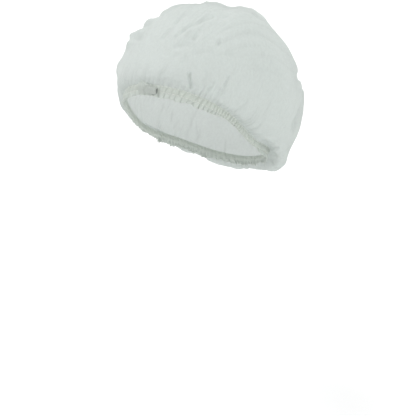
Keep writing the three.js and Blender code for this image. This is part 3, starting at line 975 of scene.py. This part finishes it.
class MobCapMakeJoin(bpy.types.Operator):
    """Makes the bunch of cloth where the ends of the hem are joined, with the tuck's open end."""

    bl_idname = "mob_cap.make_join"
    bl_label = "Make Join"

    def execute(self, context):
        hem = context.scene.mob_cap_hem
        cloth = context.scene.mob_cap_cloth
        lips, further = zip(*MOUTH_LIP)
        closed, mouth = JOIN_ENDS
        share = np.linspace(JOIN_START, 1, JOIN_RINGS)
        along = np.append(closed + (mouth - closed) * share, mouth + np.array(further))
        closing = np.append(np.sin(np.pi / 2 * np.minimum(share / JOIN_CLOSING, 1)) ** 0.5, lips)
        share = np.append(share, np.ones(len(lips)))
        share, closing, along = share[:, None], closing[:, None], along[:, None]
        around = turns_round(JOIN_SIDES)
        narrowing = smoothstep(share, 0, 1)
        centre, half_depth, half_height = (
            wide + (narrow - wide) * narrowing
            for wide, narrow in (JOIN_UP, JOIN_HALF_DEPTH, JOIN_HALF_HEIGHT)
        )
        bend = sum(bent * np.sin(often * around + turned * share) for bent, often, turned in PLEAT_BENDS)
        pleats = np.abs(np.sin(np.pi * (JOIN_PLEATS * share + bend))) ** PLEAT_BLUNTNESS
        swells = SWELL_HEIGHT * np.sin(SWELLS[0] * around + SWELLS[1] * share)
        folds = PLEAT_FOOT + PLEAT_HEIGHT * pleats + swells
        out = JOIN_OUT + half_depth * closing * folds * np.cos(around)
        up = centre + half_height * closing * (1 - UP_AND_DOWN + UP_AND_DOWN * folds) * np.sin(around)
        near_mouth = share**4
        along = along - MOUTH_SLANT * np.cos(around) * near_mouth
        groove, under = self.arch(along, up)
        front = smoothstep(np.cos(around), 0.0, FRONT_EDGE)
        out = out - ARCH_DEPTH * groove * front
        out = out - JOIN_TUCK_BACK * np.abs(np.sin(around)) ** 3 * (1 - near_mouth)
        turns = JOIN_TURN + along / float(curve("hem_radius", 0.0))
        faces = [face[::-1] for face in strip_faces(0, [JOIN_SIDES] * len(share))]
        faces.append(list(range(JOIN_SIDES)))
        faces.append(list(range((len(share) - 1) * JOIN_SIDES, len(share) * JOIN_SIDES))[::-1])
        piece = mesh_object("join_tuck", band_point(turns, out, up).reshape(-1, 3), faces)
        flat = np.broadcast_arrays(along * JOIN_FLAT_SCALE, around * JOIN_HALF_HEIGHT[0])
        add_flat_map(piece, np.stack(flat, axis=-1).reshape(-1, 2))
        add_values(piece, "gathered", np.ones(along.size))
        flow = JOIN_FLOW[0] * around + JOIN_FLOW[1] * share
        add_flow(piece, flow.ravel(), up.ravel(), cloth.gathers)
        # Painted shade in the pleat valleys, along the groove and under the arch, and most on the pocket's
        # lining.
        painted_shade = np.minimum(np.maximum(1 - pleats, groove) + ARCH_SHADE * under * front, 1)
        painted_shade[1 - len(MOUTH_LIP) :] = POCKET_SHADE
        add_values(piece, "painted_shade", painted_shade.ravel())
        material = nonwoven_material("join_nonwoven", hem.colour, hem.openness, HEM_GLOW, cloth)
        piece.data.materials.append(material)
        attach(piece, "root")
        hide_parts("hem_join")
        return {"FINISHED"}

    @staticmethod
    def arch(along, up):
        """How near a place is to the arched groove, and how far it is under the arch."""
        points = np.array(JOIN_ARCH) * MM
        place = np.stack(np.broadcast_arrays(along, up), axis=-1)
        gaps = [line_gap(place, start, end)[1] for start, end in zip(points, points[1:])]
        nearest = np.min([squared(gap) for gap in gaps], axis=0)
        height = np.interp(place[..., 0], points[:, 0], points[:, 1], left=0.0)
        under = smoothstep(height - place[..., 1], 0.0, ARCH_EDGE) * (height > 0)
        return np.exp(-nearest / ARCH_WIDTH**2), under


# ---- materials ----
class Nodes:
    """A node tree with short ways to add nodes, set their inputs and link them."""

    def __init__(self, tree):
        self.tree = tree
        tree.nodes.clear()

    def add(self, kind, settings=None, **inputs):
        node = self.tree.nodes.new(kind)
        for name, value in (settings or {}).items():
            setattr(node, name, value)
        for name, value in inputs.items():
            self.feed(node.inputs[name.replace("_", " ")], value)
        return node

    def feed(self, socket, value):
        if isinstance(value, bpy.types.NodeSocket):
            self.tree.links.new(value, socket)
        elif isinstance(value, bpy.types.Node):
            self.tree.links.new(value.outputs[0], socket)
        else:
            socket.default_value = value

    def fill(self, sockets, values):
        for socket, value in zip(sockets, values):
            self.feed(socket, value)

    def math(self, operation, *values):
        node = self.add("ShaderNodeMath", {"operation": operation})
        self.fill(node.inputs, values)
        return node.outputs[0]

    def mix_colour(self, factor, a, b):
        node = self.add("ShaderNodeMix", {"data_type": "RGBA"})
        self.fill((node.inputs[0], node.inputs[6], node.inputs[7]), (factor, a, b))
        return node.outputs[2]

    def mix_shader(self, factor, a, b):
        node = self.add("ShaderNodeMixShader")
        self.fill(node.inputs, (factor, a, b))
        return node.outputs[0]

    def range(self, value, low, high, to_low=0.0, to_high=1.0):
        node = self.add("ShaderNodeMapRange")
        self.fill(node.inputs, (value, low, high, to_low, to_high))
        return node.outputs[0]

    def ridge(self, noise, width, height):
        """A soft ridge of this height along the middle of a noise, and 0 on both sides of it."""
        off = self.math("ABSOLUTE", self.math("SUBTRACT", noise.outputs[0], 0.5))
        return self.range(off, 0.0, width, height, 0.0)


def effect_group(name, inputs, outputs, build):
    """A node group with named sockets, built once. build gets its Nodes, inputs and outputs."""
    group = bpy.data.node_groups.get(name)
    if group is not None:
        return group
    group = bpy.data.node_groups.new(name, "ShaderNodeTree")
    for label, kind, default in inputs:
        socket = group.interface.new_socket(label, in_out="INPUT", socket_type=kind)
        if default is not None:
            socket.default_value = default
    for label, kind in outputs:
        group.interface.new_socket(label, in_out="OUTPUT", socket_type=kind)
    nodes = Nodes(group)
    build(nodes, nodes.add("NodeGroupInput").outputs, nodes.add("NodeGroupOutput").inputs)
    return group


FIBRE_ANGLES = ((0.3, 1.0), (1.2, 2.0), (2.2, 3.0), (2.8, 4.0))  # in radians, and a seed for each
FIBRE_SCALE = (160.0, 3200.0, 1.0)  # long one way and fine the other
FIBRE_WIDTH = 0.07
CLOUD_SCALE, CLOUD_RANGE = 260.0, (0.3, 0.7)
BOND_RADII = (0.2, 0.34)  # in pitches: flat within the first, and gone at the second
FIBRE_HEIGHT, BOND_DEPTH = 0.35, 0.8  # as shares of WEB_BUMP
HANDLING = ((190.0, 0.6, 0.0), (420.0, 0.4, 0.5))  # scale, height and seed of each size of fine crease
HANDLING_WIDTH = 0.16


def build_web(nodes, given, out):
    """Spun fibres in every direction, cloudy where they lie thicker, with rows of bond points."""
    flat, plane = given["Flat"], {"noise_dimensions": "2D"}
    fibres = None
    for angle, seed in FIBRE_ANGLES:
        turned = nodes.add("ShaderNodeMapping", Vector=flat, Rotation=(0.0, 0.0, angle), Scale=FIBRE_SCALE)
        nodes.feed(turned.inputs["Location"], (seed, seed * 0.37, 0.0))
        strand = nodes.add("ShaderNodeTexNoise", plane, Vector=turned, Scale=1.0, Detail=1.0)
        line = nodes.ridge(strand, FIBRE_WIDTH, 1.0)
        fibres = line if fibres is None else nodes.math("MAXIMUM", fibres, line)
    cloud = nodes.add("ShaderNodeTexNoise", plane, Vector=flat, Scale=CLOUD_SCALE, Detail=2.0)
    slanted = nodes.add("ShaderNodeMapping", Vector=flat, Rotation=(0.0, 0.0, math.radians(45)))
    points = nodes.add("ShaderNodeTexVoronoi", {"voronoi_dimensions": "2D"}, Vector=slanted, Randomness=0.0)
    nodes.feed(points.inputs["Scale"], nodes.math("DIVIDE", 1.0, given["Bond Pitch"]))
    bonds = nodes.range(points.outputs["Distance"], *BOND_RADII, 1.0, 0.0)
    raised = nodes.math("MULTIPLY", fibres, FIBRE_HEIGHT)
    pressed = nodes.math("MULTIPLY", bonds, BOND_DEPTH)
    nodes.feed(out["Fibres"], fibres)
    nodes.feed(out["Cloud"], nodes.range(cloud.outputs[0], *CLOUD_RANGE))
    nodes.feed(out["Bonds"], bonds)
    nodes.feed(out["Height"], nodes.math("SUBTRACT", raised, pressed))


def web_group():
    inputs = (("Flat", "NodeSocketVector", None), ("Bond Pitch", "NodeSocketFloat", 0.0016))
    outputs = tuple((name, "NodeSocketFloat") for name in ("Fibres", "Cloud", "Bonds", "Height"))
    return effect_group("Spun Web", inputs, outputs, build_web)


def build_creases(nodes, given, out):
    """Fine creases, as thin cloth keeps when it is handled: ridged noise along the given vector."""
    height = None
    for scale, share, seed in HANDLING:
        moved = nodes.add("ShaderNodeVectorMath", {"operation": "ADD"})
        nodes.fill(moved.inputs, (given["Place"], (seed, seed, seed)))
        noise = nodes.add("ShaderNodeTexNoise", Vector=moved, Scale=scale, Detail=2.0, Distortion=0.4)
        ridge = nodes.ridge(noise, HANDLING_WIDTH, share)
        height = ridge if height is None else nodes.math("ADD", height, ridge)
    nodes.feed(out["Height"], height)


def crease_group():
    inputs, outputs = (("Place", "NodeSocketVector", None),), (("Height", "NodeSocketFloat"),)
    return effect_group("Handling Creases", inputs, outputs, build_creases)


def placed_group(nodes, group, **inputs):
    return nodes.add("ShaderNodeGroup", {"node_tree": group}, **inputs)


def new_material(name):
    material = bpy.data.materials.new(name)
    material.use_nodes = True
    return material, Nodes(material.node_tree)


def toned(colour, share):
    """A colour made deeper or paler, with its alpha."""
    return tuple(min(1.0, share * c) for c in colour) + (1.0,)


def object_noise(nodes, scale, detail):
    place = nodes.add("ShaderNodeTexCoord").outputs["Object"]
    return nodes.add("ShaderNodeTexNoise", Vector=place, Scale=scale, Detail=detail).outputs[0]


PAINTED_SHADE_STRENGTH = 0.3  # how much of the darker tone the painted shade takes where it is full
THIN_TONE, THICK_TONE, SHADED_TONE = 0.985, 1.015, 0.6  # of the cloth's colour; the last is the darker tone of the painted shade
CREASE_TONE = 0.12  # how much of the thick cloth's tone a fine crease takes
CROWN_GLOW, HEM_GLOW = 0.34, 0.14  # the share of light that is scattered through the cloth
BOND_GLOSS = (0.78, 0.5)  # the roughness of loose fibres, and of bond points
# The openness of the cloth: thin and thick cloudiness, between fibres and on them, flat and gathered.
CLOUD_GAPS, FIBRE_GAPS, GATHERED_GAPS = (1.08, 0.92), (1.12, 0.7), (1.0, 0.8)
WEB_BUMP = 0.00006
CREASE_BUMP = 0.00028  # how deep the fine creases are, and WEB_BUMP the fibres and bond points


def nonwoven_material(name, colour, openness, glowing, cloth):
    """Sheer spunbond: a share of the light passes between the fibres, and the rest is scattered."""
    material, nodes = new_material(name)
    flat = nodes.add("ShaderNodeUVMap", {"uv_map": "flat_cut"})
    flow, gathered, painted_shade = (
        nodes.add("ShaderNodeAttribute", {"attribute_name": kept}) for kept in ("flow", "gathered", "painted_shade")
    )
    web = placed_group(nodes, web_group(), Flat=flat, Bond_Pitch=cloth.bond_pitch).outputs
    creases = placed_group(nodes, crease_group(), Place=flow.outputs["Vector"])
    thin, thick, deep = (toned(colour, tone) for tone in (THIN_TONE, THICK_TONE, SHADED_TONE))
    cloudy = nodes.mix_colour(web["Cloud"], thin, thick)
    shade = nodes.mix_colour(nodes.math("MULTIPLY", creases, CREASE_TONE), cloudy, thick)
    # Painted shade: the colour goes toward a darker tone by the painted shade values on the mesh.
    shade = nodes.mix_colour(nodes.math("MULTIPLY", painted_shade.outputs["Fac"], PAINTED_SHADE_STRENGTH), shade, deep)
    fine = nodes.add("ShaderNodeBump", Height=web["Height"], Distance=WEB_BUMP, Strength=1.0)
    rough = nodes.add("ShaderNodeBump", Height=creases, Distance=CREASE_BUMP, Strength=0.6, Normal=fine)
    fabric = nodes.add("ShaderNodeBsdfPrincipled", Base_Color=shade, Normal=rough)
    fabric.inputs["Specular IOR Level"].default_value = 0.25
    fabric.inputs["Sheen Weight"].default_value = 0.15
    fabric.inputs["Sheen Roughness"].default_value = 0.5
    nodes.feed(fabric.inputs["Roughness"], nodes.range(web["Bonds"], 0.0, 1.0, *BOND_GLOSS))
    glow = nodes.add("ShaderNodeBsdfTranslucent", Color=shade, Normal=rough)
    clear = nodes.add("ShaderNodeBsdfTransparent")
    gaps = nodes.range(web["Cloud"], 0.0, 1.0, *(openness * share for share in CLOUD_GAPS))
    gaps = nodes.math("MULTIPLY", gaps, nodes.range(web["Fibres"], 0.0, 1.0, *FIBRE_GAPS))
    gaps = nodes.math("MULTIPLY", gaps, nodes.range(gathered.outputs["Fac"], 0.0, 1.0, *GATHERED_GAPS))
    sheer = nodes.mix_shader(gaps, nodes.mix_shader(glowing, fabric, glow), clear)
    nodes.add("ShaderNodeOutputMaterial", Surface=sheer)
    return material


DEEP_LATEX, PALE_LATEX = 0.85, 1.12  # of the latex's colour
POWDER_COLOUR = (0.9, 0.89, 0.82, 1.0)
POWDER_MOST = 0.35  # the share of it where the powder lies thickest


def latex_material(hem):
    """Cream latex, dull and dusted with powder."""
    material, nodes = new_material("latex")
    dust = object_noise(nodes, 900.0, 3.0)
    tone = nodes.range(object_noise(nodes, 60.0, 2.0), 0.35, 0.65)
    deep, pale = (toned(hem.elastic_colour, share) for share in (DEEP_LATEX, PALE_LATEX))
    powder = nodes.range(dust, 0.5, 0.75, 0.0, POWDER_MOST)
    shade = nodes.mix_colour(powder, nodes.mix_colour(tone, deep, pale), POWDER_COLOUR)
    bump = nodes.add("ShaderNodeBump", Height=dust, Distance=0.00008, Strength=0.6)
    rubber = nodes.add("ShaderNodeBsdfPrincipled", Base_Color=shade, Normal=bump)
    nodes.feed(rubber.inputs["Roughness"], nodes.range(dust, 0.3, 0.7, 0.45, 0.7))
    rubber.inputs["Specular IOR Level"].default_value = 0.4
    nodes.add("ShaderNodeOutputMaterial", Surface=rubber)
    return material


THREAD_GROOVE_SHADE = 0.82  # painted shade in the grooves between the thread's twisted strands


def thread_material(hem):
    """Spun polyester thread: the twist shows as fine slanting lines."""
    material, nodes = new_material("thread")
    place = nodes.add("ShaderNodeTexCoord").outputs["Object"]
    twist = nodes.add("ShaderNodeTexWave", {"bands_direction": "DIAGONAL"}, Vector=place, Scale=900.0)
    lines = twist.outputs["Fac"]
    # Painted shade in the grooves of the twist.
    shade = nodes.mix_colour(lines, toned(hem.thread_colour, THREAD_GROOVE_SHADE), toned(hem.thread_colour, 1.0))
    bump = nodes.add("ShaderNodeBump", Height=lines, Distance=0.00005, Strength=0.7)
    thread = nodes.add("ShaderNodeBsdfPrincipled", Base_Color=shade, Normal=bump)
    thread.inputs["Roughness"].default_value = 0.6
    thread.inputs["Sheen Weight"].default_value = 0.2
    nodes.add("ShaderNodeOutputMaterial", Surface=thread)
    return material


def floor_material(stage):
    """White paper with a trace of tone."""
    material, nodes = new_material("stage_floor")
    tone = object_noise(nodes, 3.0, 2.0)
    shade = nodes.mix_colour(tone, toned(stage.floor_colour, 0.99), toned(stage.floor_colour, 1.0))
    paper = nodes.add("ShaderNodeBsdfPrincipled", Base_Color=shade)
    paper.inputs["Roughness"].default_value = 0.9
    paper.inputs["Specular IOR Level"].default_value = 0.1
    nodes.add("ShaderNodeOutputMaterial", Surface=paper)
    return material


# ---- the stage ----
WHITE = (1.0, 1.0, 1.0)
FILL_COLOUR = (0.92, 1.0, 0.95)


class MobCapMakeStage(bpy.types.Operator):
    """Makes the pale floor, the soft light and the camera."""

    bl_idname = "mob_cap.make_stage"
    bl_label = "Make Stage"

    floor_sides = 96
    key_place = (-0.95, 0.1, 1.6)
    fill_place = (1.9, -0.45, 0.5)
    sensor = 36.0
    clip = (0.05, 60.0)
    sheer_layers = 32  # that light may pass before it is lost

    def execute(self, context):
        stage = context.scene.mob_cap_stage
        self.make_floor(stage)
        self.make_light(context, stage)
        self.make_camera(context, stage)
        return {"FINISHED"}

    def make_floor(self, stage):
        turns = turns_round(self.floor_sides)
        rim = np.stack([np.cos(turns), np.sin(turns), 0 * turns], axis=1) * stage.floor_radius
        points = np.concatenate([rim, [[0, 0, 0]]]) + (0, 0, stage.floor)
        faces = [(k, (k + 1) % self.floor_sides, self.floor_sides) for k in range(self.floor_sides)]
        floor = mesh_object("stage_floor", points, faces)
        floor.data.materials.append(floor_material(stage))

    def make_light(self, context, stage):
        world = bpy.data.worlds.new("stage_sky")
        world.use_nodes = True
        nodes = Nodes(world.node_tree)
        way = nodes.add("ShaderNodeSeparateXYZ", Vector=nodes.add("ShaderNodeTexCoord").outputs["Generated"])
        strength = nodes.range(way.outputs["Z"], 0.0, 1.0, stage.sky_low, stage.sky_high)
        sky = nodes.add("ShaderNodeBackground", Color=WHITE + (1.0,), Strength=strength)
        white = nodes.add("ShaderNodeBackground", Color=WHITE + (1.0,), Strength=1.0)
        seen = nodes.add("ShaderNodeLightPath").outputs["Is Camera Ray"]
        nodes.add("ShaderNodeOutputWorld", Surface=nodes.mix_shader(seen, sky, white))
        context.scene.world = world
        for name, strength, place, colour in (
            ("key_light", stage.key, self.key_place, WHITE),
            ("fill_light", stage.fill, self.fill_place, FILL_COLOUR),
        ):
            data = bpy.data.lights.new(name, "SUN")
            data.energy = strength
            data.color = colour
            data.angle = stage.key_softness
            light = bpy.data.objects.new(name, data)
            light.location = place
            light.rotation_mode = "QUATERNION"
            light.rotation_quaternion = (-Vector(place)).to_track_quat("-Z", "Y")
            context.scene.collection.objects.link(light)

    def make_camera(self, context, stage):
        data = bpy.data.cameras.new("camera")
        data.sensor_width = self.sensor
        data.lens = stage.lens
        data.clip_start, data.clip_end = self.clip
        camera = bpy.data.objects.new("camera", data)
        camera.location = stage.camera_place
        camera.rotation_euler = Euler((math.pi / 2 - stage.camera_pitch, 0.0, stage.camera_azimuth))
        context.scene.collection.objects.link(camera)
        context.scene.camera = camera
        context.scene.view_settings.view_transform = "Standard"
        context.scene.cycles.transparent_max_bounces = self.sheer_layers


class MobCapPanel(bpy.types.Panel):
    """Lists the steps that build the mob cap."""

    bl_idname = "VIEW3D_PT_mob_cap"
    bl_label = "Mob Cap"
    bl_space_type = "VIEW_3D"
    bl_region_type = "UI"
    bl_category = "Mob Cap"

    def draw(self, context):
        for settings in ("mob_cap_cloth", "mob_cap_hem", "mob_cap_stage"):
            group = getattr(context.scene, settings)
            box = self.layout.box()
            for name in group.__annotations__:
                box.prop(group, name)
        for operator in OPERATORS:
            self.layout.operator(operator.bl_idname)


OPERATORS = (
    MobCapMakeStage,
    MobCapMakeCrown,
    MobCapMakeHem,
    MobCapMakeElastic,
    MobCapMakeJoin,
    MobCapMakeStitches,
)
SETTINGS = {
    "mob_cap_cloth": MobCapClothSettings,
    "mob_cap_hem": MobCapHemSettings,
    "mob_cap_stage": MobCapStageSettings,
}


def register():
    for name, group in SETTINGS.items():
        bpy.utils.register_class(group)
        setattr(bpy.types.Scene, name, PointerProperty(type=group))
    for operator in OPERATORS:
        bpy.utils.register_class(operator)
    bpy.utils.register_class(MobCapPanel)


def unregister():
    bpy.utils.unregister_class(MobCapPanel)
    for operator in reversed(OPERATORS):
        bpy.utils.unregister_class(operator)
    for name, group in reversed(SETTINGS.items()):
        delattr(bpy.types.Scene, name)
        bpy.utils.unregister_class(group)


def main():
    register()
    bpy.ops.mob_cap.make_stage()
    bpy.ops.mob_cap.make_crown()
    bpy.ops.mob_cap.make_hem()
    bpy.ops.mob_cap.make_elastic()
    bpy.ops.mob_cap.make_join()
    bpy.ops.mob_cap.make_stitches()


if __name__ == "__main__":
    main()
